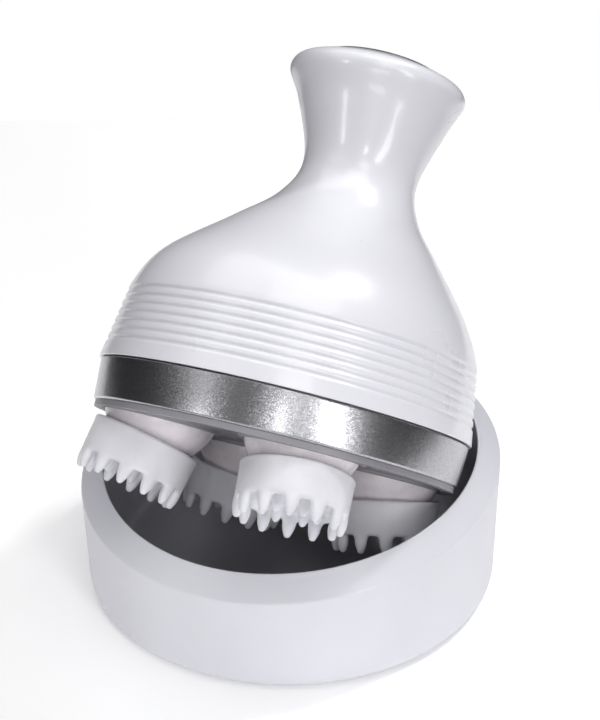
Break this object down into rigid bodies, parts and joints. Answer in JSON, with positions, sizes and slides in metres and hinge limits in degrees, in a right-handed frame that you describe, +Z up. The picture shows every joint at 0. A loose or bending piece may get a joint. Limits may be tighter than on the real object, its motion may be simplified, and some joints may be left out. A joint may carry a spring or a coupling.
{
  "type": "electric scalp massager",
  "caption": "Cordless scalp massager: bell-shaped handset with kneading silicone claw heads under a silver band, leaning in a round charging bowl with a slanted rim.",
  "frame": {"origin": "centre of the bowl's underside, on the face it stands on", "axes": "+Z up, -Y the front of the bowl, where its rim is low, +X right as seen from the front"},
  "size_m": [0.118, 0.1321, 0.1451],
  "materials": {
    "white_plastic": "gloss",
    "grey_plastic": "satin",
    "silver_band": "metallic flake under clear lacquer",
    "chassis_plastic": "satin",
    "hub_plastic": "gloss",
    "silicone": "matte, slightly translucent",
    "dark_rubber": "matte",
    "screw_steel": "zinc plated",
    "shaft_steel": "ground",
    "motor_steel": "satin",
    "spring_steel": "satin",
    "bronze": "sintered, oiled",
    "copper_wire": "enamelled wire",
    "red_lead": "soft sleeve over copper strand",
    "black_lead": "soft sleeve over copper strand",
    "gear_plastic": "satin",
    "frame_plastic": "matte",
    "plate_plastic": "matte",
    "board": "satin",
    "cell": "shrink sleeve over a metal can",
    "button_plastic": "gloss"
  },
  "bodies": {
    "base": {"base_shell": "white_plastic", "base_liner": "grey_plastic", "base_cover": "white_plastic", "base_pad": "dark_rubber", "base_screws": "screw_steel", "charge_coil": "copper_wire", "charge_board": "board", "charge_leads": "red_lead", "power_socket": "spring_steel"},
    "handset": {"housing": "white_plastic", "trim_ring": "silver_band", "chassis": "chassis_plastic", "joint_seal": "dark_rubber", "gearbox_plate": "plate_plastic", "gearbox_cover": "plate_plastic", "gearbox_screws": "screw_steel", "crank_bushes": "bronze", "gear_motor": "motor_steel", "motor_screws": "screw_steel", "inner_frame": "frame_plastic", "battery": "cell", "receive_coil": "copper_wire", "circuit_board": "board", "motor_leads": "red_lead", "cell_leads": "black_lead", "coil_leads": "copper_wire", "switch_body": "frame_plastic", "top_panel": "grey_plastic"},
    "drive": {"drive_shaft": "shaft_steel", "drive_gear": "gear_plastic"},
    "button": {"power_button": "button_plastic"},
    "crank_1": {"crank_gear_1": "gear_plastic", "crank_1": "shaft_steel", "pin_clip_1": "spring_steel"},
    "head_1": {"hub_1": "hub_plastic", "claw_cup_1": "silicone"},
    "crank_2": {"crank_gear_2": "gear_plastic", "crank_2": "shaft_steel", "pin_clip_2": "spring_steel"},
    "head_2": {"hub_2": "hub_plastic", "claw_cup_2": "silicone"},
    "crank_3": {"crank_gear_3": "gear_plastic", "crank_3": "shaft_steel", "pin_clip_3": "spring_steel"},
    "head_3": {"hub_3": "hub_plastic", "claw_cup_3": "silicone"},
    "crank_4": {"crank_gear_4": "gear_plastic", "crank_4": "shaft_steel", "pin_clip_4": "spring_steel"},
    "head_4": {"hub_4": "hub_plastic", "claw_cup_4": "silicone"}
  },
  "joints": [
    {"name": "lift_out", "type": "slide", "parent": "base", "child": "handset", "axis": [0, 0, 1], "range_m": [0, 0.15]},
    {"name": "drive_turn", "type": "hinge", "parent": "handset", "child": "drive", "pos_m": [-0.004, -0.0125, 0.0479], "axis": [0.2506, 0.5664, 0.7851], "continuous": true},
    {"name": "button_press", "type": "slide", "parent": "handset", "child": "button", "axis": [-0.2506, -0.5664, -0.7851], "range_m": [0, 0.0006], "stiffness_N_per_m": 1500, "springref_m": -0.0005},
    {"name": "crank_turn_1", "type": "hinge", "parent": "handset", "child": "crank_1", "pos_m": [0.00434, -0.03736, 0.06699], "axis": [0.2506, 0.5664, 0.7851], "continuous": true},
    {"name": "head_turn_1", "type": "hinge", "parent": "crank_1", "child": "head_1", "pos_m": [0.00434, -0.03736, 0.06699], "axis": [0.1962, 0.725, 0.6602], "continuous": true},
    {"name": "crank_turn_2", "type": "hinge", "parent": "handset", "child": "crank_2", "pos_m": [0.02709, -0.00904, 0.0393], "axis": [0.2506, 0.5664, 0.7851], "continuous": true},
    {"name": "head_turn_2", "type": "hinge", "parent": "crank_2", "child": "head_2", "pos_m": [0.02709, -0.00904, 0.0393], "axis": [0.0498, 0.5427, 0.8385], "continuous": true},
    {"name": "crank_turn_3", "type": "hinge", "parent": "handset", "child": "crank_3", "pos_m": [-0.01084, 0.01576, 0.03351], "axis": [0.2506, 0.5664, 0.7851], "continuous": true},
    {"name": "head_turn_3", "type": "hinge", "parent": "crank_3", "child": "head_3", "pos_m": [-0.01084, 0.01576, 0.03351], "axis": [0.2939, 0.3831, 0.8757], "continuous": true},
    {"name": "crank_turn_4", "type": "hinge", "parent": "handset", "child": "crank_4", "pos_m": [-0.03358, -0.01256, 0.06121], "axis": [0.2506, 0.5664, 0.7851], "continuous": true},
    {"name": "head_turn_4", "type": "hinge", "parent": "crank_4", "child": "head_4", "pos_m": [-0.03358, -0.01256, 0.06121], "axis": [0.4403, 0.5654, 0.6974], "continuous": true}
  ],
  "couplings": [
    {"joint": "crank_turn_1", "follows": "drive_turn", "ratio": -1.6667},
    {"joint": "head_turn_1", "follows": "drive_turn", "ratio": 1.6667},
    {"joint": "crank_turn_2", "follows": "drive_turn", "ratio": -1.6667},
    {"joint": "head_turn_2", "follows": "drive_turn", "ratio": 1.6667},
    {"joint": "crank_turn_3", "follows": "drive_turn", "ratio": -1.6667},
    {"joint": "head_turn_3", "follows": "drive_turn", "ratio": 1.6667},
    {"joint": "crank_turn_4", "follows": "drive_turn", "ratio": -1.6667},
    {"joint": "head_turn_4", "follows": "drive_turn", "ratio": 1.6667}
  ]
}
